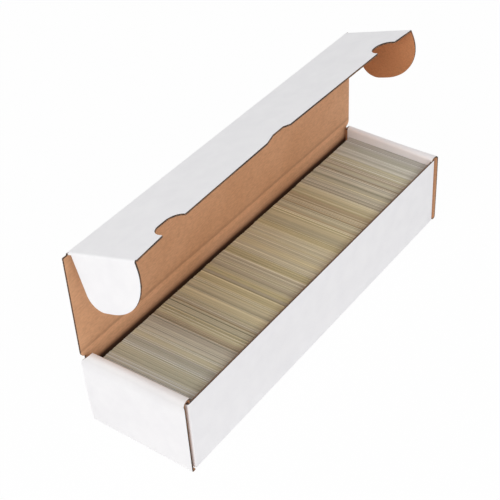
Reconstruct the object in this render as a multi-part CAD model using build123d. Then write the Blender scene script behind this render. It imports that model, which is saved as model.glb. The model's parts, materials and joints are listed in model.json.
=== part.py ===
"""Hinged-lid corrugated card box, standing open and filled with a row of cards.

Frame: X along the box, Y from the front wall to the back wall, Z up.
The origin is the middle of the underside. All sizes are in millimetres.
The box is drawn as it stands open: the lid is upright over the back wall, the
front flap leans forward from the lid's top edge and the two ears hang nearly
square to the flap.
"""
import math
import os

from build123d import *

# Board
board = 1.5

# Cards
card_length = 88.9
card_height = 63.5
card_front_gap = 0.6
card_back_gap = 7.4
pack_count = 16
pack_gap = 0.1
pack_heights = 3
pack_height_step = 0.15
cards_end_gap = 0.3

# Tray, whose width and heights are set round the cards
box_length = 380.0
front_inset = 1.0
front_over_cards = 5.3
ends_over_cards = 10.0
crease_below_ends = 4.6

# Gaps between the layers of a folded end wall, and between board and board
ply_gap = 0.1
seat_gap = 0.05
tab_gap = 0.1

# Gaps that a moving panel keeps
crease_gap = 0.3
lid_gap = 0.3
flap_gap = 0.3
ear_gap = 0.3

# End walls, rolled over double round a pocket for the ear that is open at the front
ear_pocket = 2.8
inner_ply_gap = 1.5
roll_edge_radius = 3.5
corner_flap_reach = 44.0
corner_flap_drop = 1.0
tab_width = 26.0
tab_spacing = 44.0

# Lid and flap. The flap's corners end above the floor when it is closed
lid_end_overhang = 1.0
lid_corner_radius = 2.0
band_turn = 45.0
flap_angle = 108.3
flap_floor_gap = 4.5
flap_shoulder_rise = 3.2
flap_notch_rise = 6.2
flap_edge_rise = 8.9
left_notch_centre = 140.3
left_notch_width = 29.3
right_notch_centre = 151.5
right_notch_width = 23.6
notch_depth = 8.3
notch_corner_radius = 11.0
thumb_left = 20.0
thumb_right = 11.5
thumb_base = 14.0
thumb_depth = 4.2

# Ears, which stand a few degrees outside square to the flap
left_ear_lean = 2.5
right_ear_lean = 9.0
ear_length = 48.6
ear_start = 4.5
ear_slope = 0.5
ear_corner = 9.5
ear_flat = 11.5
ear_tail = 7.0
ear_tail_inset = 1.0
ear_tail_bulge = 0.7

# Places worked out from the sizes above
half_board = board / 2
card_top = board + card_height
front_height = card_top + front_over_cards
roll_height = card_top + ends_over_cards
crease_height = roll_height - crease_below_ends
lean = front_inset / front_height
box_width = lean * card_top + 2 * board + card_front_gap + card_length + card_back_gap
half_length = box_length / 2
half_width = box_width / 2

outer_face = half_length - board
ply_outer = outer_face - ply_gap
pocket_inner = outer_face - ear_pocket
inner_outer = pocket_inner - board - inner_ply_gap
inner_face = inner_outer - board
ear_plane = outer_face - ear_gap - half_board
roll_foot = roll_height - roll_edge_radius

hinge_y = half_width - half_board
lid_closed_z = roll_height + lid_gap + half_board
band_rise = lid_closed_z - crease_height
band_width = band_rise / math.cos(math.radians(band_turn))
band_run = band_width * math.sin(math.radians(band_turn))
fold_z = crease_height + band_width

flap_corner_depth = lid_closed_z - flap_floor_gap
flap_shoulder_depth = flap_corner_depth - flap_shoulder_rise
flap_notch_edge = flap_corner_depth - flap_notch_rise
flap_depth = flap_corner_depth - flap_edge_rise
thumb_floor = flap_depth - thumb_depth
notch_floor = flap_depth - notch_depth


def front_face(height):
    """Y of the leaning front wall's outer face at a height."""
    return -half_width + lean * height


flap_closed_y = front_face(lid_closed_z) - flap_gap - half_board
lid_span = hinge_y - band_run - flap_closed_y
flap_fold_z = fold_z + lid_span
lid_half_length = half_length + lid_end_overhang

# The end walls are cut away at the back, below the leaning crease band
band_normal_y = math.cos(math.radians(band_turn))
band_normal_z = math.sin(math.radians(band_turn))
cut_distance = half_board + crease_gap
cut_point_y = hinge_y - cut_distance * band_normal_y
cut_point_z = crease_height - cut_distance * band_normal_z
cut_slope = math.tan(math.radians(90.0 - band_turn))


def cut_height(y):
    """Height of the sloping cut at the back of an end wall."""
    return cut_point_z + (cut_point_y - y) * cut_slope


def cut_y(height):
    """Y where the sloping cut reaches a height."""
    return cut_point_y - (height - cut_point_z) / cut_slope


def prism(outline, x_from, x_to):
    """Board cut to a YZ outline and as thick as the X distance."""
    low = min(x_from, x_to)
    face = make_face(Polyline(*outline, close=True))
    return extrude(Plane.YZ.offset(low) * face, amount=abs(x_to - x_from))


def crease_bead(height, half):
    """Rounded edge of board along a crease of the upright lid."""
    bead = Cylinder(half_board, 2 * half, rotation=(0, 90, 0))
    return Pos(0, hinge_y, height) * bead


def plate(half, low, high):
    """Upright board in the lid's plane."""
    size = (2 * half, board, high - low)
    return Pos(0, hinge_y, (low + high) / 2) * Box(*size)


# Tray


def make_bottom_panel():
    front = front_face(board) + board + seat_gap
    back = half_width - board - seat_gap
    length = 2 * (outer_face - seat_gap)
    panel = Pos(0, (front + back) / 2, half_board) * Box(length, back - front, board)
    # Through slots for the locking tabs of the inner end panels
    wide = tab_width + 2 * tab_gap
    thick = board + 2 * seat_gap
    for side in (-1, 1):
        for row in (-1, 1):
            x = side * (inner_outer - half_board)
            panel -= Pos(x, row * tab_spacing / 2, half_board) * Box(thick, wide, 2 * board)
    return panel


def make_front_wall():
    outline = [
        (front_face(0), 0),
        (front_face(0) + board, 0),
        (front_face(front_height) + board, front_height),
        (front_face(front_height), front_height),
    ]
    return prism(outline, -pocket_inner, pocket_inner)


def make_back_wall():
    top = crease_height - half_board - crease_gap
    size = (2 * ply_outer, board, top)
    return Pos(0, hinge_y, top / 2) * Box(*size)


def make_end_outer(side):
    outline = [
        (front_face(0), 0),
        (half_width, 0),
        (half_width, cut_height(half_width)),
        (cut_y(roll_foot), roll_foot),
        (front_face(roll_foot), roll_foot),
    ]
    return prism(outline, side * outer_face, side * half_length)


def make_end_inner(side):
    front = board + 2 * seat_gap
    back = half_width - board - seat_gap
    foot = board + seat_gap
    outline = [
        (front_face(foot) + front, foot),
        (back, foot),
        (back, cut_height(back)),
        (cut_y(roll_foot), roll_foot),
        (front_face(roll_foot) + front, roll_foot),
    ]
    panel = prism(outline, side * inner_face, side * inner_outer)
    for row in (-1, 1):
        x = side * (inner_face + half_board)
        panel += Pos(x, row * tab_spacing / 2, foot / 2) * Box(board, tab_width, foot)
    return panel


def quarter_arc(middle, radius, start, end):
    """Arc of the roll's section about a middle, from one angle in degrees to another."""
    points = []
    for angle in (start, (start + end) / 2, end):
        turned = math.radians(angle)
        points.append((middle + radius * math.cos(turned), roll_foot + radius * math.sin(turned)))
    return ThreePointArc(*points)


def make_end_roll(side):
    """Board that rolls over the top of an end wall, hollow underneath."""
    outer_middle = half_length - roll_edge_radius
    inner_middle = inner_face + roll_edge_radius
    under_radius = roll_edge_radius - board
    under = roll_height - board
    section = make_face([
        quarter_arc(outer_middle, roll_edge_radius, 0, 90),
        Line((outer_middle, roll_height), (inner_middle, roll_height)),
        quarter_arc(inner_middle, roll_edge_radius, 90, 180),
        Line((inner_face, roll_foot), (inner_outer, roll_foot)),
        quarter_arc(inner_middle, under_radius, 180, 90),
        Line((inner_middle, under), (outer_middle, under)),
        quarter_arc(outer_middle, under_radius, 90, 0),
        Line((outer_face, roll_foot), (half_length, roll_foot)),
    ])
    strip = extrude(Plane.XZ.offset(-half_width) * section, amount=box_width)
    if side < 0:
        strip = mirror(strip, Plane.YZ)
    # The ends follow the leaning front wall and the sloping cut at the back
    outline = [
        (front_face(roll_foot), roll_foot),
        (cut_y(roll_foot), roll_foot),
        (cut_y(roll_height), roll_height),
        (front_face(roll_height), roll_height),
    ]
    return strip & prism(outline, side * inner_face, side * half_length)


def make_corner_flap(side, row):
    foot = board + seat_gap
    front = board + seat_gap
    back = half_width - board - seat_gap
    if row < 0:
        outside = pocket_inner
        top = front_height - corner_flap_drop
        outline = [
            (front_face(foot) + front, foot),
            (-half_width + corner_flap_reach, foot),
            (-half_width + corner_flap_reach, top),
            (front_face(top) + front, top),
        ]
    else:
        outside = ply_outer
        top = cut_height(back) - corner_flap_drop
        outline = [
            (half_width - corner_flap_reach, foot),
            (back, foot),
            (back, top),
            (half_width - corner_flap_reach, top),
        ]
    return prism(outline, side * (outside - board), side * outside)


# Cards


def make_card_packs():
    room = 2 * (inner_face - cards_end_gap)
    pitch = room / pack_count
    front = front_face(card_top) + board + card_front_gap
    packs = []
    for index in range(pack_count):
        height = card_height - pack_height_step * (index % pack_heights)
        x = -room / 2 + pitch * (index + 0.5)
        block = Box(pitch - pack_gap, card_length, height)
        packs.append(Pos(x, front + card_length / 2, board + height / 2) * block)
    return packs


# Lid


def make_hinge_band():
    band = plate(lid_half_length, crease_height, fold_z)
    band += crease_bead(crease_height, lid_half_length)
    band += crease_bead(fold_z, lid_half_length)
    return band


def make_lid_panel():
    low = fold_z + half_board + crease_gap
    panel = plate(lid_half_length, low, flap_fold_z)
    upper = panel.edges().filter_by(Axis.Y).group_by(Axis.Z)[-1]
    panel = fillet(upper, lid_corner_radius)
    straight = lid_half_length - lid_corner_radius
    return panel + crease_bead(flap_fold_z, straight)


# Flap and ears, drawn in the flap's own plane

turn = math.radians(flap_angle)
along_flap = Vector(0, -math.sin(turn), -math.cos(turn))
inward = Vector(0, math.cos(turn), -math.sin(turn))
flap_root = Vector(0, hinge_y, flap_fold_z)
flap_start = half_board + crease_gap


def lock_notch(centre, width):
    """Rounded notch in the flap's free edge."""
    half = width / 2
    deep = flap_corner_depth + board
    cut = Polyline(
        (centre - half, deep),
        (centre - half, notch_floor),
        (centre + half, notch_floor),
        (centre + half, deep),
        close=True,
    )
    face = make_face(cut)
    lower = face.vertices().group_by(Axis.Y)[0]
    return fillet(lower, notch_corner_radius)


def make_front_flap():
    half_left = left_notch_width / 2
    half_right = right_notch_width / 2
    outline = [
        (-ear_plane, flap_start),
        (-ear_plane, flap_corner_depth),
        (-left_notch_centre - half_left, flap_shoulder_depth),
        (-left_notch_centre + half_left, flap_notch_edge),
        (-thumb_left, flap_depth),
        (-thumb_base / 2, thumb_floor),
        (thumb_base / 2, thumb_floor),
        (thumb_right, flap_depth),
        (right_notch_centre - half_right, flap_notch_edge),
        (right_notch_centre + half_right, flap_shoulder_depth),
        (ear_plane, flap_corner_depth),
        (ear_plane, flap_start),
    ]
    face = make_face(Polyline(*outline, close=True))
    face -= lock_notch(-left_notch_centre, left_notch_width)
    face -= lock_notch(right_notch_centre, right_notch_width)
    plane = Plane(origin=flap_root, x_dir=(1, 0, 0), z_dir=inward)
    flap = extrude(plane.offset(-half_board) * face, amount=board)
    # The board is rounded where each ear folds
    length = flap_corner_depth - flap_start
    for side in (-1, 1):
        middle = flap_root + along_flap * (flap_start + length / 2)
        axis = Plane(origin=middle + Vector(side * ear_plane, 0, 0), z_dir=along_flap)
        flap += axis * Cylinder(half_board, length)
    return flap


def make_ear(side, ear_lean):
    """Rounded tongue that hangs from one end of the flap."""
    root = half_board + crease_gap
    full_start = ear_start + ear_slope + ear_corner
    full_end = full_start + ear_flat
    tail_end = flap_corner_depth - ear_tail_inset
    corner_turn = (ear_start + ear_slope, ear_length - ear_corner)
    shift = ear_corner * (1 - math.cos(math.radians(45)))
    corner_middle = (corner_turn[0] + shift, ear_length - shift)
    tail_middle = (
        full_end + (tail_end - full_end) * ear_tail_bulge,
        ear_tail + (ear_length - ear_tail) * ear_tail_bulge,
    )
    edge = [
        Line((ear_start, root), corner_turn),
        ThreePointArc(corner_turn, corner_middle, (full_start, ear_length)),
        Line((full_start, ear_length), (full_end, ear_length)),
        ThreePointArc((full_end, ear_length), tail_middle, (tail_end, ear_tail)),
        Line((tail_end, ear_tail), (tail_end, root)),
        Line((tail_end, root), (ear_start, root)),
    ]
    face = make_face(edge)
    middle = flap_root + Vector(side * ear_plane, 0, 0)
    swing = math.radians(ear_lean)
    drop = inward * math.cos(swing) + Vector(side * math.sin(swing), 0, 0)
    plane = Plane(origin=middle, x_dir=along_flap, z_dir=along_flap.cross(drop))
    return extrude(plane.offset(-half_board) * face, amount=board)


def make_parts():
    parts = {
        "bottom_panel": make_bottom_panel(),
        "front_wall": make_front_wall(),
        "back_wall": make_back_wall(),
    }
    for side, name, ear_lean in ((-1, "left", left_ear_lean), (1, "right", right_ear_lean)):
        parts[f"{name}_end_outer"] = make_end_outer(side)
        parts[f"{name}_end_roll"] = make_end_roll(side)
        parts[f"{name}_end_inner"] = make_end_inner(side)
        parts[f"{name}_front_corner_flap"] = make_corner_flap(side, -1)
        parts[f"{name}_back_corner_flap"] = make_corner_flap(side, 1)
        parts[f"{name}_ear"] = make_ear(side, ear_lean)
    for index, pack in enumerate(make_card_packs(), start=1):
        parts[f"card_pack_{index:02d}"] = pack
    parts["hinge_band"] = make_hinge_band()
    parts["lid_panel"] = make_lid_panel()
    parts["front_flap"] = make_front_flap()
    return parts


os.makedirs("parts", exist_ok=True)
for node, shape in make_parts().items():
    export_step(shape, f"parts/{node}.step")

print("crease", hinge_y, crease_height, "fold", fold_z, "flap fold", flap_fold_z)
print("ear plane", ear_plane, "lid closed", lid_closed_z, "lid span", lid_span, "band", band_width)
print("flap closed angle", 90 + math.degrees(math.atan(lean)))
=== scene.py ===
"""A white corrugated card box, open, with a hinged lid and a full row of standing cards.

Lengths here are in millimetres unless a name says otherwise, and meshes are made in metres.
"""

import json
import math
import random

import bpy
import numpy as np
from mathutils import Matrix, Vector


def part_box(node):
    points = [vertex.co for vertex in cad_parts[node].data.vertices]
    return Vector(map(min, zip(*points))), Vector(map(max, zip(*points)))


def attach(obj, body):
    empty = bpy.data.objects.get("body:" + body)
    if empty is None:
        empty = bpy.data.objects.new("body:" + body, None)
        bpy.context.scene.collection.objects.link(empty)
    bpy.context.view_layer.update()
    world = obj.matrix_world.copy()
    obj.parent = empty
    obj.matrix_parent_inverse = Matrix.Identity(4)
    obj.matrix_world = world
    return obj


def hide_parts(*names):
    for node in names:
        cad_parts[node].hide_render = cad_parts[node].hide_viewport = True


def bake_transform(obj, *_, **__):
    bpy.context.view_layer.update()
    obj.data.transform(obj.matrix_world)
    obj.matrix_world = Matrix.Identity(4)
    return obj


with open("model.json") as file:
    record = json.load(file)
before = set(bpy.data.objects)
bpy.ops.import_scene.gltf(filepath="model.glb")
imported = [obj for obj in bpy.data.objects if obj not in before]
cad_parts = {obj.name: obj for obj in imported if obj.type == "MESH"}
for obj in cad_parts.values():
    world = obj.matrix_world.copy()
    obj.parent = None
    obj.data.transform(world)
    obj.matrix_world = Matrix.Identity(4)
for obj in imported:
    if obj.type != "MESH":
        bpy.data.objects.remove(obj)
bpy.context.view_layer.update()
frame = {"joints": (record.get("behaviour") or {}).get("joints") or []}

MM = 0.001
SEED = 7

# Board: two liners with a fluted layer between, just clear of them
LINER = 0.24
MEDIUM = 0.16
MEDIUM_GAP = 0.02
FLUTE_PITCH = 3.1
FLUTE_STEPS = 8

# Steps along a board's path: in an arc, where it bows and where it is flat
ARC_STEP = math.radians(9)
BEND_STEP = 8.0
FLAT_STEP = 400.0

# Points closer than this are one point, and edges that turn further stay sharp
SAME_POINT = 1e-6
SHARP_ANGLE = math.radians(28)

# How far an outline reaches past the board that it cuts, and how deep the cut goes
MARGIN = 2.0
WIDE_MARGIN = 5.0
BOARD_CUT = 4.0
HEIGHT_CUT = 100.0
LENGTH_CUT = 400.0

# Fold radii at the middle of the board, and how far a fold strip reaches from its crease
CORNER_RADIUS = 0.95
ROLL_OUTER_RADIUS = 4.8
ROLL_INNER_RADIUS = 2.6
HINGE_REACH = 1.3
FLAP_REACH = 1.7
EAR_REACH = 1.0

# The floor: how far the walls turn in under it, its gaps and its inset at the ends
WALL_FOOT = 4.0
END_FOOT = 3.0
JOIN_GAP = 0.05
STAND_GAP = 0.1
FLOOR_INSET = 2.0

# How far the ends' inner panels are drawn outwards at the back, and the outer ones bowed
PINCHES = {"left": 3.5, "right": 1.8}
BOWS = {"left": 2.6, "right": 2.4}
BOW_FEET = {"left": 0.0, "right": 0.5}
BOW_ENDS = {"left": 1.0, "right": -1.0}
BOW_TURN = math.radians(112)
BOW_POWER = 1.5

# How far the end boards run past the front, and how far the cut rolls stand back from the
# front wall's face there, clear of the ears' folds
END_OVERRUN = 1.0
ROLL_SET_BACK = 0.7

# How far the rolls sag, at the back and at the front
SAGS = {"left": (0.0, 0.0), "right": (0.7, 2.6)}

# How far the ends' inner panels reach past the cards at the back
INNER_PAST_CARDS = {"left": 0.8, "right": 2.6}

# Outline of the flap's free edge: each notch's centre and width, and the edge's depths
LEFT_NOTCH = (140.3, 29.3)
RIGHT_NOTCH = (151.5, 23.6)
NOTCH_DEPTH = 8.3
NOTCH_CORNER = 11.0
THUMB_LEFT = 20.0
THUMB_RIGHT = 11.5
THUMB_BASE = 14.0
THUMB_DEPTH = 4.2
SHOULDER_RISE = 3.2
NOTCH_RISE = 6.2
EDGE_RISE = 8.9
FLAP_START = 0.5
FLAP_OVERRUN = 3.0

# Outline of an ear, by depth down the flap and drop from it, and the lean that it has at rest
EAR_FOLD_START = 1.0
EAR_START = 4.5
EAR_SLOPE = 0.5
EAR_LENGTH = 48.6
EAR_CORNER = 14.0
EAR_FLAT = 7.0
EAR_TAIL = 7.0
EAR_TAIL_INSET = 1.0
EAR_BULGE = 0.7
EAR_LEANS = {"left": 2.5, "right": 9.0}

# The lid's ends stand out a little, and the hinge band's lower corners are worn round
LID_CORNER = 2.0
LID_FLARE = 1.6
BAND_CORNER = 5.0

# Material slots inside each board's mesh
WHITE, KRAFT, CUT = 0, 1, 2


def place(node):
    """Lowest and highest corners of a node, in millimetres."""
    low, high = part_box(node)
    return np.array(low) / MM, np.array(high) / MM


def joint(name):
    """A joint's place in millimetres and its axis."""
    found = next(j for j in frame["joints"] if j["name"] == name)
    return np.array(found["pos_m"]) / MM, np.array(found["axis"], float)


# Places read from the frame
outer_high = place("right_end_outer")[1]
inner_low = place("right_end_inner")[0]
roll_low, roll_high = place("right_end_roll")
wall_low, wall_high = place("front_wall")
back_low, back_high = place("back_wall")
cards_low, cards_high = place("card_pack_01")
lid_high = place("lid_panel")[1]
flap_low = place("front_flap")[0]

BOARD = back_high[1] - back_low[1]
HALF = BOARD / 2
HALF_LENGTH = outer_high[0]
HALF_WIDTH = outer_high[1]
FRONT_HEIGHT = wall_high[2]
FRONT_HALF = wall_high[0]
FRONT_INSET = wall_high[1] - wall_low[1] - BOARD
BACK_HALF = back_high[0]
ROLL_HEIGHT = roll_high[2]
ROLL_FOOT = roll_low[2]
CARD_TOP = cards_high[2]
INNER_FACE = inner_low[0]
LID_HALF = lid_high[0]

crease = joint("lid_hinge")[0]
fold = joint("lid_fold")[0]
flap_fold = joint("flap_hinge")[0]
ear_hinge, along = joint("right_ear_hinge")
HINGE_Y = crease[1]
EAR_PLANE = ear_hinge[0]
X = np.array((1.0, 0.0, 0.0))
Y = np.array((0.0, 1.0, 0.0))
Z = np.array((0.0, 0.0, 1.0))
flap_out = np.cross(X, along)
if flap_out[2] < 0:
    flap_out = -flap_out

# Depths measured down the flap from its crease
CORNER_DEPTH = (HINGE_Y - flap_low[1] - HALF * abs(along[2])) / abs(along[1])
SHOULDER_DEPTH = CORNER_DEPTH - SHOULDER_RISE
EDGE_DEPTH = CORNER_DEPTH - EDGE_RISE
NOTCH_EDGE_DEPTH = CORNER_DEPTH - NOTCH_RISE
EAR_TAIL_END = CORNER_DEPTH - EAR_TAIL_INSET


def front_y(height):
    """Y of the leaning front wall's outer face."""
    return -HALF_WIDTH + FRONT_INSET * height / FRONT_HEIGHT


# Materials

WHITE_ROUGHNESS = 0.52
KRAFT_ROUGHNESS = 0.78
CUT_ROUGHNESS = 0.9
CARD_ROUGHNESS = 0.62

# Noises: scale in waves for each metre, detail and roughness
MOTTLE = (60.0, 4.0, 0.55)
WHITE_FIBRE = (1500.0, 2.0, 0.55)
BLOTCH = (14.0, 3.0, 0.55)
KRAFT_FIBRE = (700.0, 4.0, 0.7)
CUT_GRAIN = (900.0, 3.0, 0.7)
CARD_STREAK = (1500.0, 2.0, 0.55)
SHADE_WAVE = (25.0, 2.0, 0.55)
KRAFT_STRETCH = (0.35, 1.0, 1.0)
CARD_STRETCH = (1.0, 0.01, 1.0)

# Colour stops: a place on the scale that they colour, and the colour there
WHITE_TONES = ((0.3, (0.865, 0.86, 0.87)), (0.7, (0.905, 0.9, 0.905)))
KRAFT_TONES = ((0.3, (0.65, 0.335, 0.17)), (0.7, (0.76, 0.415, 0.23)))
# The ears' kraft: the same kraft, darker and more saturated, as painted shade on the ears
EAR_SHADE_TONES = ((0.3, (0.50, 0.215, 0.09)), (0.7, (0.59, 0.265, 0.12)))
# The cut edges' own brown, darkened further as painted shade of the flute hollows
CUT_BROWN_AND_SHADE_TONES = ((0.3, (0.055, 0.038, 0.03)), (0.7, (0.125, 0.09, 0.068)))
FIBRE_TONES = ((0.3, (0.80, 0.78, 0.76)), (0.62, (1.06, 1.06, 1.06)))
RIDGE_TONES = ((0.0, (0.955, 0.95, 0.945)), (0.6, (1.0, 1.0, 1.0)))
STREAK_TONES = ((0.38, (0.9, 0.9, 0.9)), (0.62, (1.08, 1.08, 1.08)))
SHADOW_TONES = ((0.0, (0.5, 0.46, 0.46)), (0.3, (0.8, 0.78, 0.79)), (1.0, (1.0, 1.0, 1.0)))
FIBRE_SHARE = 0.8
RIDGE_SHARE = 0.7
STREAK_SHARE = 0.8

# Bumps: height in millimetres and strength, and the ridges' part in them
WHITE_BUMP = (0.03, 0.6)
KRAFT_BUMP = (0.06, 0.7)
CUT_BUMP = (0.1, 0.8)
WHITE_RIDGES = 0.35
KRAFT_RIDGES = 0.4

# Brightness by height above the table, for parts of the box that lie in its own shade: the
# lid's creases, the back wall down beside the cards and the near end's rolled edge. Green
# and blue fall faster than red, by SHADE_WARMTH. SHADE_TOP is where the scale of heights ends
CREASE_SHADES = (
    (70.0, 1.02), (73.5, 1.12), (76.8, 1.10), (78.0, 0.78), (79.0, 0.82), (81.5, 0.97), (88.0, 1.0),
)
WALL_SHADES = ((57.0, 0.12), (59.0, 0.2), (61.0, 0.62), (63.2, 0.9), (66.0, 1.04), (70.0, 1.04))
END_SHADES = ((60.0, 1.0), (68.0, 0.95), (71.5, 0.89), (75.0, 0.86))
SHADE_TOP = 100.0
SHADE_WOBBLE = 0.012
SHADE_WARMTH = 1.12

# How far the front wall shades the cards behind it
SHADOW_REACH = 11.0


def new_material(name, roughness):
    """An empty material with one shader, and that shader."""
    material = bpy.data.materials.new(name)
    material.use_nodes = True
    nodes = material.node_tree.nodes
    nodes.clear()
    output = nodes.new("ShaderNodeOutputMaterial")
    shader = nodes.new("ShaderNodeBsdfPrincipled")
    shader.inputs["Roughness"].default_value = roughness
    material.node_tree.links.new(shader.outputs[0], output.inputs[0])
    return material, shader


def link(material, source, target):
    """Joins one node's output to another's input."""
    material.node_tree.links.new(source, target)


def noise(material, vector, grain):
    """Noise from 0 to 1, with the scale, detail and roughness of a grain."""
    node = material.node_tree.nodes.new("ShaderNodeTexNoise")
    for name, value in zip(("Scale", "Detail", "Roughness"), grain):
        node.inputs[name].default_value = value
    link(material, vector, node.inputs["Vector"])
    return node.outputs["Fac"]


def object_place(material, stretch=(1.0, 1.0, 1.0)):
    """The place on the object in metres, stretched along its axes."""
    coords = material.node_tree.nodes.new("ShaderNodeTexCoord")
    mapping = material.node_tree.nodes.new("ShaderNodeMapping")
    mapping.inputs["Scale"].default_value = stretch
    link(material, coords.outputs["Object"], mapping.inputs["Vector"])
    return mapping.outputs["Vector"]


def component(material, vector, axis):
    """One axis of a vector."""
    split = material.node_tree.nodes.new("ShaderNodeSeparateXYZ")
    link(material, vector, split.inputs[0])
    return split.outputs[axis]


def attribute(material, name, output):
    """A value that the mesh holds."""
    node = material.node_tree.nodes.new("ShaderNodeAttribute")
    node.attribute_name = name
    return node.outputs[output]


def ramp(material, factor, stops):
    """The colour at a factor's place among stops."""
    node = material.node_tree.nodes.new("ShaderNodeValToRGB")
    elements = node.color_ramp.elements
    while len(elements) < len(stops):
        elements.new(0.5)
    for element, (position, colour) in zip(elements, stops):
        element.position = position
        element.color = (*colour, 1.0)
    link(material, factor, node.inputs["Fac"])
    return node.outputs["Color"]


def multiply(material, share, first, second):
    """The first colour, by a share of the second."""
    node = material.node_tree.nodes.new("ShaderNodeMix")
    node.data_type = "RGBA"
    node.blend_type = "MULTIPLY"
    node.inputs["Factor"].default_value = share
    link(material, first, node.inputs["A"])
    link(material, second, node.inputs["B"])
    return node.outputs["Result"]


def math_node(material, operation, *values):
    """A calculation with numbers and other nodes' outputs."""
    node = material.node_tree.nodes.new("ShaderNodeMath")
    node.operation = operation
    for value, socket in zip(values, node.inputs):
        if isinstance(value, (int, float)):
            socket.default_value = value
        else:
            link(material, value, socket)
    return node.outputs["Value"]


def washboard(material):
    """Height of the faint ridges that the flutes press through a liner, from 0 to 1."""
    across = attribute(material, "flute", "Fac")
    turns = math_node(material, "MULTIPLY", across, 2 * math.pi / FLUTE_PITCH)
    return math_node(material, "MULTIPLY_ADD", math_node(material, "SINE", turns), 0.5, 0.5)


def bump(material, shader, height, relief):
    """Bumps a shader by a height. relief is how high, in millimetres, and how strong."""
    node = material.node_tree.nodes.new("ShaderNodeBump")
    node.inputs["Distance"].default_value = relief[0] * MM
    node.inputs["Strength"].default_value = relief[1]
    link(material, height, node.inputs["Height"])
    link(material, node.outputs["Normal"], shader.inputs["Normal"])


def shade_by_height(material, place_out, colour, shades):
    """The colour times a brightness that depends on the height above the table."""
    if not shades:
        return colour
    share = math_node(material, "DIVIDE", component(material, place_out, "Z"), SHADE_TOP * MM)
    wave = noise(material, place_out, SHADE_WAVE)
    wobble = math_node(material, "MULTIPLY_ADD", wave, SHADE_WOBBLE, share)
    lift = SHADE_WOBBLE * SHADE_TOP / 2
    stops = [
        ((z + lift) / SHADE_TOP, (b, b ** SHADE_WARMTH, b ** (2 * SHADE_WARMTH - 1)))
        for z, b in shades
    ]
    return multiply(material, 1.0, colour, ramp(material, wobble, stops))


def make_white(name, shades=()):
    """Bleached clay-coated liner: near white, smooth, with faint ridges over the flutes."""
    material, shader = new_material(name, WHITE_ROUGHNESS)
    place_out = object_place(material)
    colour = ramp(material, noise(material, place_out, MOTTLE), WHITE_TONES)
    colour = shade_by_height(material, place_out, colour, shades)
    link(material, colour, shader.inputs["Base Color"])
    fibre = noise(material, place_out, WHITE_FIBRE)
    height = math_node(material, "MULTIPLY_ADD", washboard(material), WHITE_RIDGES, fibre)
    bump(material, shader, height, WHITE_BUMP)
    return material


def make_kraft(name, tones, shades=()):
    """Brown kraft liner with long fibres, soft blotches and faint flute lines."""
    material, shader = new_material(name, KRAFT_ROUGHNESS)
    place_out = object_place(material)
    base = ramp(material, noise(material, place_out, BLOTCH), tones)
    fibres = noise(material, object_place(material, KRAFT_STRETCH), KRAFT_FIBRE)
    colour = multiply(material, FIBRE_SHARE, base, ramp(material, fibres, FIBRE_TONES))
    ridges = washboard(material)
    colour = multiply(material, RIDGE_SHARE, colour, ramp(material, ridges, RIDGE_TONES))
    colour = shade_by_height(material, place_out, colour, shades)
    link(material, colour, shader.inputs["Base Color"])
    height = math_node(material, "MULTIPLY_ADD", ridges, KRAFT_RIDGES, fibres)
    bump(material, shader, height, KRAFT_BUMP)
    return material


def make_cut():
    """Cut edge of the liners and the fluted layer, rough, and darker: partly the board's own brown
    and partly painted shade of the flute hollows.
    """
    material, shader = new_material("cut_edge", CUT_ROUGHNESS)
    tone = noise(material, object_place(material), CUT_GRAIN)
    link(material, ramp(material, tone, CUT_BROWN_AND_SHADE_TONES), shader.inputs["Base Color"])
    bump(material, shader, tone, CUT_BUMP)
    return material


def make_card_stock():
    """Edges of cards: each has its own tone, with faint streaks along it.

    The cards darken towards the front wall, which stands over their ends.
    """
    material, shader = new_material("card_edges", CARD_ROUGHNESS)
    streak = noise(material, object_place(material, CARD_STRETCH), CARD_STREAK)
    shade = ramp(material, streak, STREAK_TONES)
    colour = multiply(material, STREAK_SHARE, attribute(material, "tone", "Color"), shade)
    back = component(material, object_place(material), "Y")
    inward = math_node(material, "SUBTRACT", back, cards_low[1] * MM)
    share = math_node(material, "DIVIDE", inward, SHADOW_REACH * MM)
    colour = multiply(material, 1.0, colour, ramp(material, share, SHADOW_TONES))
    link(material, colour, shader.inputs["Base Color"])
    return material


white = make_white("white_liner")
white_end = make_white("white_end", END_SHADES)
kraft = make_kraft("kraft_liner", KRAFT_TONES)
kraft_lid = make_kraft("kraft_lid", KRAFT_TONES, CREASE_SHADES)
kraft_wall = make_kraft("kraft_wall", KRAFT_TONES, WALL_SHADES)
# The ears get a darker copy of the kraft, as painted shade
kraft_ear_painted_shade = make_kraft("kraft_ear_painted_shade", EAR_SHADE_TONES)
cut_edge = make_cut()
card_stock = make_card_stock()


# Meshes


def finish_piece(name, mesh, body, nodes):
    """Names a mesh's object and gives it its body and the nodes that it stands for."""
    piece = bpy.data.objects.new(name, mesh)
    bpy.context.scene.collection.objects.link(piece)
    mesh.set_sharp_from_angle(angle=SHARP_ANGLE)
    if body:
        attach(piece, body)
    if nodes:
        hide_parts(*nodes)
    return piece


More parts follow.
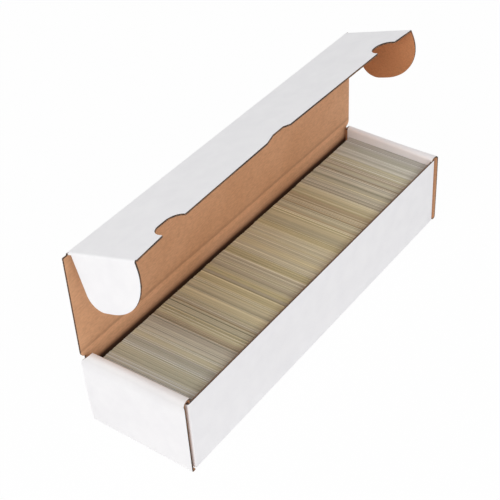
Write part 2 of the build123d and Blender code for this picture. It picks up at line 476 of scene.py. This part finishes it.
class Sheets:
    """Closed sheets collected into one mesh, with a flute coordinate on each point."""

    def __init__(self):
        self.points = []
        self.faces = []
        self.kinds = []
        self.flutes = []

    def add(self, low, high, top, bottom, rim, flute, flip):
        """A sheet between two grids of points. Flip turns the faces over."""
        rows, columns = low.shape[:2]
        base = sum(len(block) for block in self.points)
        size = rows * columns
        for level in (high, low):
            self.points.append(level.reshape(-1, 3))
            self.flutes.append(flute.reshape(-1))

        def at(row, column, level):
            return base + level * size + row * columns + column

        def face(corners, kind):
            self.faces.append(corners[::-1] if flip else corners)
            self.kinds.append(kind)

        for i in range(rows - 1):
            for j in range(columns - 1):
                face((at(i, j, 0), at(i + 1, j, 0), at(i + 1, j + 1, 0), at(i, j + 1, 0)), top)
                face((at(i, j, 1), at(i, j + 1, 1), at(i + 1, j + 1, 1), at(i + 1, j, 1)), bottom)
        last = columns - 1
        for i in range(rows - 1):
            face((at(i, 0, 1), at(i + 1, 0, 1), at(i + 1, 0, 0), at(i, 0, 0)), rim)
            face((at(i, last, 0), at(i + 1, last, 0), at(i + 1, last, 1), at(i, last, 1)), rim)
        last = rows - 1
        for j in range(columns - 1):
            face((at(0, j, 0), at(0, j + 1, 0), at(0, j + 1, 1), at(0, j, 1)), rim)
            face((at(last, j, 1), at(last, j + 1, 1), at(last, j + 1, 0), at(last, j, 0)), rim)

    def mesh(self, name):
        """One mesh of all the sheets."""
        points = np.concatenate(self.points) * MM
        mesh = bpy.data.meshes.new(name)
        mesh.from_pydata([tuple(p) for p in points], [], self.faces)
        mesh.polygons.foreach_set("material_index", self.kinds)
        mesh.shade_smooth()
        flute = mesh.attributes.new("flute", "FLOAT", "POINT")
        flute.data.foreach_set("value", np.concatenate(self.flutes).astype(np.float32))
        mesh.update()
        return mesh


def turned(vector, angle):
    """A vector of the path's plane, turned by an angle."""
    c, s = math.cos(angle), math.sin(angle)
    return np.array((vector[0] * c - vector[1] * s, vector[0] * s + vector[1] * c))


def walk(corners, radii, step):
    """Points, right-hand normals and lengths along straight runs joined by arcs."""
    corners = [np.array(c, float) for c in corners]
    points, tangents = [], []

    def straight(start, end, direction):
        count = max(1, int(math.ceil(np.linalg.norm(end - start) / step)))
        for k in range(count + 1):
            points.append(start + (end - start) * k / count)
            tangents.append(direction)

    here = corners[0]
    after = (corners[1] - here) / np.linalg.norm(corners[1] - here)
    for index in range(1, len(corners) - 1):
        corner, radius = corners[index], radii[index - 1]
        before = (corner - corners[index - 1]) / np.linalg.norm(corner - corners[index - 1])
        after = (corners[index + 1] - corner) / np.linalg.norm(corners[index + 1] - corner)
        turn = math.atan2(before[0] * after[1] - before[1] * after[0], before @ after)
        reach = radius * math.tan(abs(turn) / 2)
        start = corner - before * reach
        straight(here, start, before)
        side = np.array((-before[1], before[0])) * math.copysign(1.0, turn)
        middle = start + side * radius
        count = max(2, int(math.ceil(abs(turn) / ARC_STEP)))
        for k in range(1, count):
            angle = turn * k / count
            points.append(middle + turned(start - middle, angle))
            tangents.append(turned(before, angle))
        here = corner + after * reach
    straight(here, corners[-1], after)
    kept = [0]
    for k in range(1, len(points)):
        if np.linalg.norm(points[k] - points[kept[-1]]) > SAME_POINT:
            kept.append(k)
    points = np.array([points[k] for k in kept])
    tangents = np.array([tangents[k] for k in kept])
    normals = np.stack([tangents[:, 1], -tangents[:, 0]], axis=1)
    steps = np.linalg.norm(np.diff(points, axis=0), axis=1)
    return points, normals, np.concatenate([[0.0], np.cumsum(steps)])


def board_sheets(corners, radii, origin, axes, span, along_span, bend):
    """Liners and fluted layer of a board whose middle follows a path and runs along a span.

    axes are the path plane's two directions and the span's. The white skin is on the
    right of the path. along_span says that the flutes run along the span. bend moves
    the middle's points.
    """
    fine = FLUTE_PITCH / FLUTE_STEPS
    e1, e2, e3 = axes
    path_step = FLAT_STEP
    if along_span:
        path_step = fine
    elif bend:
        path_step = BEND_STEP
    points, normals, lengths = walk(corners, radii, path_step)
    if along_span:
        places = np.array(span, float)
    else:
        count = int(math.ceil((span[1] - span[0]) / fine))
        places = np.linspace(span[0], span[1], count + 1)
    middle = (
        origin
        + points[:, None, 0, None] * e1
        + points[:, None, 1, None] * e2
        + places[None, :, None] * e3
    )
    if bend:
        middle = bend(middle)
    grid = np.zeros((len(points), len(places)))
    normal = normals[:, None, 0, None] * e1 + normals[:, None, 1, None] * e2 + grid[..., None]
    across = grid + (lengths[:, None] if along_span else places[None, :])
    flip = np.cross(e1, e2) @ e3 < 0
    # The liners need fewer points across the flutes than the layer between them
    coarse = slice(None)
    if not along_span:
        parts = int((span[1] - span[0]) / BEND_STEP) if bend else 1
        coarse = np.linspace(0, len(places) - 1, parts + 1).astype(int)
    sheets = Sheets()

    def layer(low, high, top, bottom, pick):
        sheets.add(
            (middle + normal * low[..., None])[:, pick],
            (middle + normal * high[..., None])[:, pick],
            top, bottom, CUT, across[:, pick], flip,
        )

    level = np.ones_like(across)
    layer(level * (HALF - LINER), level * HALF, WHITE, KRAFT, coarse)
    layer(-level * HALF, -level * (HALF - LINER), KRAFT, KRAFT, coarse)
    swing = HALF - LINER - MEDIUM / 2 - MEDIUM_GAP
    wave = np.sin(across * 2 * math.pi / FLUTE_PITCH) * swing
    layer(wave - MEDIUM / 2, wave + MEDIUM / 2, CUT, CUT, slice(None))
    return sheets


def board(name, corners, radii, origin, axes, span, along_span, body, nodes,
          trim=(), bend=None, inside=kraft, outside=white):
    """A board piece, cut to outlines where some are given, with its skins' materials."""
    sheets = board_sheets(corners, radii, np.array(origin, float), axes, span, along_span, bend)
    mesh = sheets.mesh(name)
    for material in (outside, inside, cut_edge):
        mesh.materials.append(material)
    for outline in trim:
        mesh = cut_to(mesh, *outline)
    return finish_piece(name, mesh, body, nodes)


def cut_to(mesh, outline, origin, e1, e2, depth):
    """Keeps what lies inside an outline, drawn in a plane and swept both ways by a depth."""
    e3 = np.cross(e1, e2)
    count = len(outline)
    points = []
    for level in (-depth, depth):
        for a, b in outline:
            points.append(tuple((np.array(origin, float) + e1 * a + e2 * b + e3 * level) * MM))
    faces = [tuple(range(count))[::-1], tuple(range(count, 2 * count))]
    for k in range(count):
        after = (k + 1) % count
        faces.append((k, after, count + after, count + k))
    cutter_mesh = bpy.data.meshes.new("cutter")
    cutter_mesh.from_pydata(points, [], faces)
    for material in mesh.materials:
        cutter_mesh.materials.append(material)
    cutter_mesh.polygons.foreach_set("material_index", [CUT] * len(faces))
    cutter = bpy.data.objects.new("cutter", cutter_mesh)
    piece = bpy.data.objects.new("uncut", mesh)
    for thing in (cutter, piece):
        bpy.context.scene.collection.objects.link(thing)
    modifier = piece.modifiers.new("outline", "BOOLEAN")
    modifier.operation = "INTERSECT"
    modifier.solver = "EXACT"
    modifier.object = cutter
    bpy.context.view_layer.update()
    graph = bpy.context.evaluated_depsgraph_get()
    result = bpy.data.meshes.new_from_object(piece.evaluated_get(graph), depsgraph=graph)
    bpy.data.objects.remove(piece)
    bpy.data.objects.remove(cutter)
    return result


def arc(middle, radius, start, end, count=10):
    """Points of an arc, from one angle in degrees to another."""
    angles = np.radians(np.linspace(start, end, count + 1))
    return [(middle[0] + radius * math.cos(a), middle[1] + radius * math.sin(a)) for a in angles]


def three_point_arc(first, through, last, count=18):
    """Points of the circle's arc through three points."""
    (ax, ay), (bx, by), (cx, cy) = first, through, last
    aa, bb, cc = (x**2 + y**2 for x, y in (first, through, last))
    d = 2 * (ax * (by - cy) + bx * (cy - ay) + cx * (ay - by))
    ux = (aa * (by - cy) + bb * (cy - ay) + cc * (ay - by)) / d
    uy = (aa * (cx - bx) + bb * (ax - cx) + cc * (bx - ax)) / d
    start, pass_by, end = (math.atan2(y - uy, x - ux) for x, y in (first, through, last))
    radius = math.hypot(ax - ux, ay - uy)
    sweep = (end - start) % (2 * math.pi)
    if (pass_by - start) % (2 * math.pi) > sweep:
        sweep -= 2 * math.pi
    angles = [start + sweep * k / count for k in range(count + 1)]
    return [(ux + radius * math.cos(a), uy + radius * math.sin(a)) for a in angles]


# Tray


def make_tray():
    """Front wall, back wall, floor and the two ends, with their folds."""
    # Front wall with the rounded fold at its foot
    front_end = FRONT_HALF - CORNER_RADIUS - HALF
    board(
        "front_wall_board",
        [
            (front_y(FRONT_HEIGHT) + HALF, FRONT_HEIGHT),
            (-HALF_WIDTH + HALF, HALF),
            (-HALF_WIDTH + WALL_FOOT, HALF),
        ],
        [CORNER_RADIUS], (0, 0, 0), (Y, Z, X), (-front_end, front_end), True,
        "tray", ["front_wall"],
    )
    # Back wall up to the lower crease
    board(
        "back_wall_board",
        [(HALF_WIDTH - WALL_FOOT, HALF), (HINGE_Y, HALF), (HINGE_Y, crease[2] - HINGE_REACH)],
        [CORNER_RADIUS], (0, 0, 0), (Y, Z, X), (-BACK_HALF, BACK_HALF), True,
        "tray", ["back_wall"], inside=kraft_wall,
    )
    foot = HALF_WIDTH - WALL_FOOT - JOIN_GAP
    board(
        "bottom_board",
        [(-foot, HALF), (foot, HALF)],
        [], (0, 0, 0), (Y, Z, X), (-HALF_LENGTH + FLOOR_INSET, HALF_LENGTH - FLOOR_INSET), True,
        "tray", ["bottom_panel"],
    )
    for side, name in ((-1, "left"), (1, "right")):
        make_end(side, name)
        make_corner_flaps(side, name)


def end_outline():
    """An end board's edge from the side, by Y and height.

    The slanting cut falls at 45 degrees from the top of the roll to the back wall.
    """
    over_top = ROLL_HEIGHT + MARGIN
    cut_top_y = roll_high[1] - (ROLL_HEIGHT - ROLL_FOOT)
    reach = HALF_WIDTH + WIDE_MARGIN
    return [
        (front_y(-MARGIN), -MARGIN),
        (reach, -MARGIN),
        (reach, ROLL_HEIGHT + cut_top_y - reach),
        (cut_top_y - MARGIN, over_top),
        (front_y(over_top) + ROLL_SET_BACK, over_top),
        (front_y(ROLL_FOOT) + ROLL_SET_BACK, ROLL_FOOT),
        (front_y(ROLL_FOOT - MARGIN), ROLL_FOOT - MARGIN),
    ]


def inner_outline(stop):
    """An end board's edge from above, by distance along the box and Y.

    The inner panel stops behind the cards.
    """
    reach = HALF_WIDTH + WIDE_MARGIN
    near_x = INNER_FACE - 2 * WIDE_MARGIN
    middle_x = (INNER_FACE + HALF_LENGTH) / 2
    far_x = HALF_LENGTH + 2 * WIDE_MARGIN
    return [
        (near_x, -reach), (far_x, -reach), (far_x, reach),
        (middle_x, reach), (middle_x, stop), (near_x, stop),
    ]


def end_bend(side, name, stop):
    """A function that moves an end board's points.

    It draws the inner panel outwards at the back, bows the outer one and sags the roll.
    """
    foot = BOW_FEET[name]
    back_sag, front_sag = SAGS[name]

    def bend(points):
        moved = points.copy()
        x, y, z = np.abs(points[..., 0]), points[..., 1], points[..., 2]
        inner_share = np.clip((HALF_LENGTH - x) / (HALF_LENGTH - INNER_FACE), 0.0, 1.0)
        back_share = np.clip((y + HALF_WIDTH) / (stop + HALF_WIDTH), 0.0, 1.0)
        rise = foot + (1.0 - foot) * np.sin(np.clip(z / ROLL_FOOT, 0.0, 1.0) * BOW_TURN)
        bow = rise * np.clip(BOW_ENDS[name] * y / HALF_WIDTH, 0.0, 1.0) ** BOW_POWER
        pinch = PINCHES[name] * inner_share * back_share
        moved[..., 0] += side * (pinch + BOWS[name] * bow * (1.0 - inner_share))
        front_share = 1.0 - np.clip((y + HALF_WIDTH) / (2 * HALF_WIDTH), 0.0, 1.0)
        high_share = np.clip((z - CARD_TOP) / (ROLL_HEIGHT - CARD_TOP), 0.0, 1.0)
        moved[..., 2] -= high_share * (back_sag + (front_sag - back_sag) * front_share)
        return moved

    return bend


def make_end(side, name):
    """End wall: outer panel, rolled top edge and inner panel, as one folded board."""
    out = X * side
    outer_mid = HALF_LENGTH - HALF
    inner_mid = INNER_FACE + HALF
    top_mid = ROLL_HEIGHT - HALF
    stop = cards_high[1] + INNER_PAST_CARDS[name]
    board(
        f"{name}_end_board",
        [
            (outer_mid - END_FOOT, HALF), (outer_mid, HALF), (outer_mid, top_mid),
            (inner_mid, top_mid), (inner_mid, BOARD + STAND_GAP),
        ],
        [CORNER_RADIUS, ROLL_OUTER_RADIUS - HALF, ROLL_INNER_RADIUS - HALF],
        (0, 0, 0), (out, Z, Y), (-HALF_WIDTH - END_OVERRUN, HALF_WIDTH), False,
        "tray", [f"{name}_end_outer", f"{name}_end_roll", f"{name}_end_inner"],
        trim=[
            (end_outline(), (0, 0, 0), Y, Z, LENGTH_CUT),
            (inner_outline(stop), (0, 0, 0), out, Y, HEIGHT_CUT),
        ],
        bend=end_bend(side, name, stop), outside=white_end if name == "left" else white,
    )


def make_corner_flaps(side, name):
    """Flaps folded from the ends of the front and back walls, inside each end wall."""
    reach = place("right_front_corner_flap")[1][1]
    lean = np.array((0.0, FRONT_INSET, FRONT_HEIGHT))
    up = lean / np.linalg.norm(lean)
    mid = FRONT_HALF - HALF
    front_mid = -HALF_WIDTH + HALF
    board(
        f"{name}_front_corner_board",
        [(mid - CORNER_RADIUS, front_mid), (mid, front_mid), (mid, reach)],
        [CORNER_RADIUS], (0, 0, 0), (X * side, Y, up), (BOARD + STAND_GAP, FRONT_HEIGHT), False,
        "tray", [f"{name}_front_corner_flap"],
    )
    low, high = place("right_back_corner_flap")
    mid = high[0] - HALF
    board(
        f"{name}_back_corner_board",
        [(mid, low[1]), (mid, HINGE_Y - HALF - STAND_GAP)],
        [], (0, 0, 0), (X * side, Y, Z), (BOARD + STAND_GAP, high[2]), False,
        "tray", [f"{name}_back_corner_flap"],
    )


# Lid


def make_lid():
    """Crease band, lid and the two folds of the hinge, on one line so that their flutes meet."""
    band_foot = crease[2] + HINGE_REACH
    band_top = fold[2] - HINGE_REACH
    over_band = fold[2] + MARGIN
    half = LID_HALF + LID_FLARE
    band_outline = arc((half - BAND_CORNER, band_foot + BAND_CORNER), BAND_CORNER, -90, 0)
    band_outline += [(half, over_band), (-half, over_band)]
    band_outline += arc((-half + BAND_CORNER, band_foot + BAND_CORNER), BAND_CORNER, 180, 270)

    def strip(name, low, high, end, body=None, nodes=(), outline=None):
        """The board's stretch between two heights, cut to an outline where one is given."""
        trim = [(outline, (0, HINGE_Y, 0), X, Z, BOARD_CUT)] if outline else ()
        board(
            name, [(HINGE_Y, low), (HINGE_Y, high)], [], (0, 0, 0), (Y, Z, X),
            (-end, end), True, body, nodes, inside=kraft_lid, trim=trim,
        )

    strip("lower_hinge_fold", crease[2] - HINGE_REACH, band_foot, BACK_HALF)
    strip("hinge_band_board", band_foot, band_top, half, "band", ["hinge_band"], band_outline)
    strip("upper_hinge_fold", band_top, fold[2] + HINGE_REACH, half)
    for name, height, pair in (
        ("lower_hinge_fold", crease[2], ("tray", "band")),
        ("upper_hinge_fold", fold[2], ("band", "lid")),
    ):
        start = Vector((0, HINGE_Y, height - HINGE_REACH)) * MM
        end = Vector((0, HINGE_Y, height + HINGE_REACH)) * MM
        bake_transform(bpy.data.objects[name], *pair, start=start, end=end)

    corner_z = flap_fold[2] - LID_CORNER
    outline = [(-half, fold[2]), (half, fold[2])]
    outline += arc((half - LID_CORNER, corner_z), LID_CORNER, 0, 90)
    outline += arc((-half + LID_CORNER, corner_z), LID_CORNER, 90, 180)
    strip(
        "lid_board", fold[2] + HINGE_REACH, flap_fold[2] - FLAP_REACH, half + MARGIN,
        "lid", ["lid_panel"], outline,
    )


def make_flap():
    """Front flap and its rounded fold along the lid."""
    ahead = np.array((along[1], along[2]))
    root = np.array((HINGE_Y, flap_fold[2]))
    fold_end = tuple(root + ahead * FLAP_REACH)
    radius = FLAP_REACH / math.tan(math.acos(ahead[1]) / 2)
    fold_half = EAR_PLANE + HALF
    board(
        "flap_fold",
        [(HINGE_Y, flap_fold[2] - FLAP_REACH), tuple(root), fold_end],
        [radius], (0, 0, 0), (Y, Z, X), (-fold_half, fold_half), True, None, [],
    )
    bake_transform(bpy.data.objects["flap_fold"])

    half = EAR_PLANE + FLAP_OVERRUN
    board(
        "flap_board",
        [fold_end, tuple(root + ahead * (CORNER_DEPTH + MARGIN))],
        [], (0, 0, 0), (Y, Z, X), (-half, half), True, "flap", ["front_flap"],
        trim=[(flap_outline(), tuple(flap_fold), X, along, BOARD_CUT)],
    )


def flap_outline():
    """The flap's edge, across and down the flap from the middle of its crease."""
    reach = EAR_PLANE - EAR_REACH
    # Depth of the middles of a notch's two round corners
    arc_depth = EDGE_DEPTH - NOTCH_DEPTH + NOTCH_CORNER

    def edge_at(x, outer):
        """Depth of the sloping edge between a notch and the ear."""
        share = (x - outer) / (EAR_PLANE - outer)
        return SHOULDER_DEPTH + (CORNER_DEPTH - SHOULDER_DEPTH) * share

    def half(thumb, notch):
        """One half of the edge, from the thumb notch outwards."""
        centre, width = notch
        inner = centre - width / 2
        outer = centre + width / 2
        points = [(THUMB_BASE / 2, EDGE_DEPTH - THUMB_DEPTH), (thumb, EDGE_DEPTH)]
        rise = math.degrees(math.asin((arc_depth - NOTCH_EDGE_DEPTH) / NOTCH_CORNER))
        points += arc((inner + NOTCH_CORNER, arc_depth), NOTCH_CORNER, 180 + rise, 270)
        points += arc((outer - NOTCH_CORNER, arc_depth), NOTCH_CORNER, 270, 360)
        points += [(outer, edge_at(outer, outer)), (reach, edge_at(reach, outer))]
        return points + [(reach, FLAP_START)]

    left = [(-x, depth) for x, depth in reversed(half(THUMB_LEFT, LEFT_NOTCH))]
    return half(THUMB_RIGHT, RIGHT_NOTCH) + left


def ear_outline():
    """An ear's edge: depth down the flap, and drop from the flap."""
    full_start = EAR_START + EAR_SLOPE + EAR_CORNER
    full_end = full_start + EAR_FLAT
    tail_middle = (
        full_end + (EAR_TAIL_END - full_end) * EAR_BULGE,
        EAR_TAIL + (EAR_LENGTH - EAR_TAIL) * EAR_BULGE,
    )
    points = [(EAR_START, EAR_REACH)]
    points += arc((full_start, EAR_LENGTH - EAR_CORNER), EAR_CORNER, 180, 90)
    points += three_point_arc((full_end, EAR_LENGTH), tail_middle, (EAR_TAIL_END, EAR_TAIL))
    points += [(EAR_TAIL_END, EAR_REACH)]
    return points


def make_ear(side, name):
    """An ear and its fold along the flap's end."""
    lean = math.radians(EAR_LEANS[name])
    out = X * side
    drop = -flap_out
    down = drop * math.cos(lean) + out * math.sin(lean)
    root = flap_fold + out * EAR_PLANE
    fold_name = f"{name}_ear_fold"
    radius = EAR_REACH / math.tan((math.pi / 2 - lean) / 2)
    # The ear's fold and the ear itself take the ears' kraft, darkened as painted shade
    board(
        fold_name,
        [(-EAR_REACH, 0), (0, 0), (EAR_REACH * math.sin(lean), EAR_REACH * math.cos(lean))],
        [radius], tuple(root), (out, drop, along), (EAR_FOLD_START, EAR_TAIL_END), False,
        None, [], inside=kraft_ear_painted_shade,
    )
    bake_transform(bpy.data.objects[fold_name])
    board(
        f"{name}_ear_board",
        [(0, EAR_REACH), (0, EAR_LENGTH + MARGIN)],
        [], tuple(root), (np.cross(along, down) * side, down, along),
        (-MARGIN, CORNER_DEPTH + MARGIN), False, f"{name}_ear", [f"{name}_ear"],
        trim=[(ear_outline(), tuple(root), along, down, BOARD_CUT)], inside=kraft_ear_painted_shade,
    )


# Cards

CARD_TONES = (
    (0.605, 0.55, 0.355),
    (0.555, 0.50, 0.30),
    (0.515, 0.475, 0.32),
    (0.485, 0.44, 0.315),
    (0.585, 0.54, 0.38),
    (0.465, 0.39, 0.245),
)
PALE_TONE = (0.78, 0.74, 0.56)

# Tints of the row's near and far ends, and the share of the row that each reaches over
END_TINTS = {"near": (0.80, 0.87, 1.14), "far": (1.04, 1.14, 1.44)}
TINT_REACH = 0.28

# The cards' back ends fan out towards the ends' inner panels, over a length of the row
FAN_LENGTH = 90.0
FAN_SHARE = 0.93

PACKS = 16
CARD_THICK = 0.34
CARD_PITCH = 0.44

# Runs of cards of one kind: how many, how high they stand and how fast the tone changes
RUN_CARDS = (3, 22)
RUN_LIFT = (-0.27, 0.06)
RUN_BLEND = 0.75

# How single cards stray: in tone, as a pale card, as a sunk card darkened with painted shade of its
# gap, at their edges and in turn
TONE_SPREAD = 0.10
SUNK_CARD_CHANCE = 0.05
SUNK_CARD_SHADE_SHARE = 0.5
SUNK_CARD_DROP = 0.5
PALE_CHANCE = 0.08
LEAST_TONE = 0.02
TOP_DROP = 0.15
TOP_STRAY = 0.12
FRONT_STRAY = 0.35
BACK_STRAY = 0.5
SKEW = 0.04

CARD_FACES = (
    (0, 1, 3, 2), (4, 6, 7, 5), (0, 2, 6, 4), (1, 5, 7, 3), (2, 3, 7, 6), (0, 4, 5, 1),
)


def card_tint(x):
    """Tint of a card by its place in the row."""
    reach = (x / INNER_FACE + 1.0) / 2
    near = max(0.0, 1.0 - reach / TINT_REACH)
    far = max(0.0, 1.0 - (1.0 - reach) / TINT_REACH)
    return [
        1.0 + (a - 1.0) * near + (b - 1.0) * far
        for a, b in zip(END_TINTS["near"], END_TINTS["far"])
    ]


def card_fan(x):
    """How far along the box a card's back end is drawn, by its place in the row."""
    near = max(0.0, 1.0 - (x + INNER_FACE) / FAN_LENGTH)
    far = max(0.0, 1.0 - (INNER_FACE - x) / FAN_LENGTH)
    return (PINCHES["right"] * far - PINCHES["left"] * near) * FAN_SHARE


def card_runs(dice):
    """Each card's tone and lift in turn, in runs of cards of one kind."""
    tone = CARD_TONES[0]
    while True:
        count = dice.randint(*RUN_CARDS)
        run_tone = dice.choice(CARD_TONES)
        lift = dice.uniform(*RUN_LIFT)
        for _ in range(count):
            tone = tuple(a + (b - a) * RUN_BLEND for a, b in zip(tone, run_tone))
            yield tone, lift


def add_card(points, faces, x, edges, heights, skew):
    """Adds one card's thin box, with its front and back edges drawn apart by skew and fan."""
    base = len(points)
    for y, shift in zip(edges, (-skew, skew + card_fan(x))):
        for z in heights:
            for side in (-1, 1):
                points.append(((x + shift + side * CARD_THICK / 2) * MM, y * MM, z * MM))
    faces += [tuple(base + corner for corner in corners) for corners in CARD_FACES]


def make_cards():
    """Single cards in each pack, with their own tone, height and place."""
    dice = random.Random(SEED)
    runs = card_runs(dice)
    for index in range(1, PACKS + 1):
        node = f"card_pack_{index:02d}"
        low, high = place(node)
        count = int((high[0] - low[0]) / CARD_PITCH)
        pitch = (high[0] - low[0]) / count
        points, faces, tones = [], [], []
        for k in range(count):
            x = low[0] + pitch * (k + 0.5)
            tone, lift = next(runs)
            share = dice.gauss(1.0, TONE_SPREAD)
            chance = dice.random()
            top = high[2] - TOP_DROP + lift + dice.uniform(-TOP_STRAY, TOP_STRAY)
            # A sunk card stands lower and is darkened as painted shade of the gap over it
            if chance < SUNK_CARD_CHANCE:
                share *= SUNK_CARD_SHADE_SHARE
                top -= SUNK_CARD_DROP
            elif chance > 1.0 - PALE_CHANCE:
                tone = PALE_TONE
            front = low[1] + dice.uniform(0.0, FRONT_STRAY)
            back = high[1] - dice.uniform(0.0, BACK_STRAY)
            skew = dice.uniform(-SKEW, SKEW)
            add_card(points, faces, x, (front, back), (low[2], top), skew)
            tinted = [max(LEAST_TONE, c * tint * share) for c, tint in zip(tone, card_tint(x))]
            tones += [tinted] * len(CARD_FACES)
        mesh = bpy.data.meshes.new(f"cards_{index:02d}")
        mesh.from_pydata(points, [], faces)
        colours = mesh.color_attributes.new("tone", "FLOAT_COLOR", "CORNER")
        # A face's four corners share its card's tone
        values = [channel for tinted in tones for _ in range(4) for channel in (*tinted, 1.0)]
        colours.data.foreach_set("color", values)
        mesh.materials.append(card_stock)
        finish_piece(f"cards_{index:02d}", mesh, "tray", [node])


make_tray()
make_lid()
make_flap()
for ear_side, ear_name in ((-1, "left"), (1, "right")):
    make_ear(ear_side, ear_name)
make_cards()


# Floor, light and camera, with sizes and places in metres and power in watts

FLOOR_SIZE = 8.0
FLOOR_DROP = 0.0003
FLOOR_COLOUR = (0.86, 0.86, 0.86, 1.0)
BACKGROUND_SHARE = 0.97
BACKDROP_COLOUR = (1.0, 1.0, 1.0, 1.0)
BACKDROP_STRENGTH = 1.0
SKY_COLOUR = (0.98, 0.985, 1.0, 1.0)
SKY_STRENGTH = 0.62

# Each lamp's place, size, power and colour
LAMPS = {
    "key": ((-1.9, -0.4, 1.6), 1.4, 22.0, (1.0, 0.978, 0.965)),
    "fill": ((-0.6, -1.8, 1.3), 1.6, 10.3, (0.985, 0.975, 1.0)),
}
LAMP_TARGET = (0.0, 0.0, 0.08)


def seen_directly(owner):
    """1 where a ray comes straight from the camera, or by a reflection or through glass."""
    path = owner.node_tree.nodes.new("ShaderNodeLightPath")
    camera, glossy = path.outputs["Is Camera Ray"], path.outputs["Is Glossy Ray"]
    first = math_node(owner, "MAXIMUM", camera, glossy)
    return math_node(owner, "MAXIMUM", first, path.outputs["Is Transmission Ray"])


def mix_shaders(owner, share, first, second, output_kind):
    """Sends a mix of two shaders to the output."""
    nodes = owner.node_tree.nodes
    mixer = nodes.new("ShaderNodeMixShader")
    for source, target in zip((share, first.outputs[0], second.outputs[0]), mixer.inputs):
        link(owner, source, target)
    link(owner, mixer.outputs[0], nodes.new(output_kind).inputs[0])


def make_floor():
    """Pale floor that holds the box's shadow and looks white from the camera."""
    mesh = bpy.data.meshes.new("floor")
    half = FLOOR_SIZE / 2
    corners = [(-half, -half), (half, -half), (half, half), (-half, half)]
    mesh.from_pydata([(x, y, -FLOOR_DROP) for x, y in corners], [], [(0, 1, 2, 3)])
    floor = bpy.data.objects.new("floor", mesh)
    bpy.context.scene.collection.objects.link(floor)
    material = bpy.data.materials.new("pale_floor")
    material.use_nodes = True
    nodes = material.node_tree.nodes
    nodes.clear()
    diffuse = nodes.new("ShaderNodeBsdfDiffuse")
    diffuse.inputs["Color"].default_value = FLOOR_COLOUR
    glow = nodes.new("ShaderNodeEmission")
    share = math_node(material, "MULTIPLY", seen_directly(material), BACKGROUND_SHARE)
    mix_shaders(material, share, diffuse, glow, "ShaderNodeOutputMaterial")
    mesh.materials.append(material)


def make_world():
    """Soft light from all round, and a white backdrop."""
    world = bpy.data.worlds.new("studio")
    world.use_nodes = True
    bpy.context.scene.world = world
    nodes = world.node_tree.nodes
    nodes.clear()
    shaders = []
    for colour, strength in (
        (SKY_COLOUR, SKY_STRENGTH),
        (BACKDROP_COLOUR, BACKDROP_STRENGTH),
    ):
        shader = nodes.new("ShaderNodeBackground")
        shader.inputs["Color"].default_value = colour
        shader.inputs["Strength"].default_value = strength
        shaders.append(shader)
    mix_shaders(world, seen_directly(world), *shaders, "ShaderNodeOutputWorld")


def make_lamp(name, position, size, power, colour):
    """Square lamp that points at the box."""
    data = bpy.data.lights.new(name, "AREA")
    data.shape = "SQUARE"
    data.size = size
    data.energy = power
    data.color = colour
    lamp = bpy.data.objects.new(name, data)
    lamp.location = position
    aim = Vector(LAMP_TARGET) - Vector(position)
    lamp.rotation_euler = aim.to_track_quat("-Z", "Y").to_euler()
    bpy.context.scene.collection.objects.link(lamp)


# The camera, found from the corners of the box in the 500 pixel photograph: angles in
# degrees, lengths in millimetres, and where its axis passes the origin
AZIMUTH = -52.091
ELEVATION = 39.157
ROLL = -3.342
DISTANCE = 1051.105
AIM_RIGHT = -25.988
AIM_UP = 52.94
FOCAL_PIXELS = 1183.037
IMAGE_PIXELS = 500.0
SENSOR = 36.0


def make_camera():
    """Camera at the photograph's place and viewing angle."""
    a, e, r = (math.radians(v) for v in (AZIMUTH, ELEVATION, ROLL))
    back = Vector((math.sin(a) * math.cos(e), -math.cos(a) * math.cos(e), math.sin(e)))
    level = Vector((math.cos(a), math.sin(a), 0.0))
    rise = back.cross(level)
    right = level * math.cos(r) + rise * math.sin(r)
    up = rise * math.cos(r) - level * math.sin(r)
    position = (right * AIM_RIGHT + up * AIM_UP + back * DISTANCE) * MM
    data = bpy.data.cameras.new("camera")
    data.sensor_width = SENSOR
    data.lens = FOCAL_PIXELS / IMAGE_PIXELS * SENSOR
    camera = bpy.data.objects.new("camera", data)
    matrix = camera.matrix_world
    for row in range(3):
        for column, vector in enumerate((right, up, back, position)):
            matrix[row][column] = vector[row]
    camera.matrix_world = matrix
    bpy.context.scene.collection.objects.link(camera)
    bpy.context.scene.camera = camera


make_floor()
make_world()
for lamp_name, lamp_values in LAMPS.items():
    make_lamp(lamp_name, *lamp_values)
make_camera()
bpy.context.scene.view_settings.view_transform = "Standard"

bpy.context.view_layer.update()
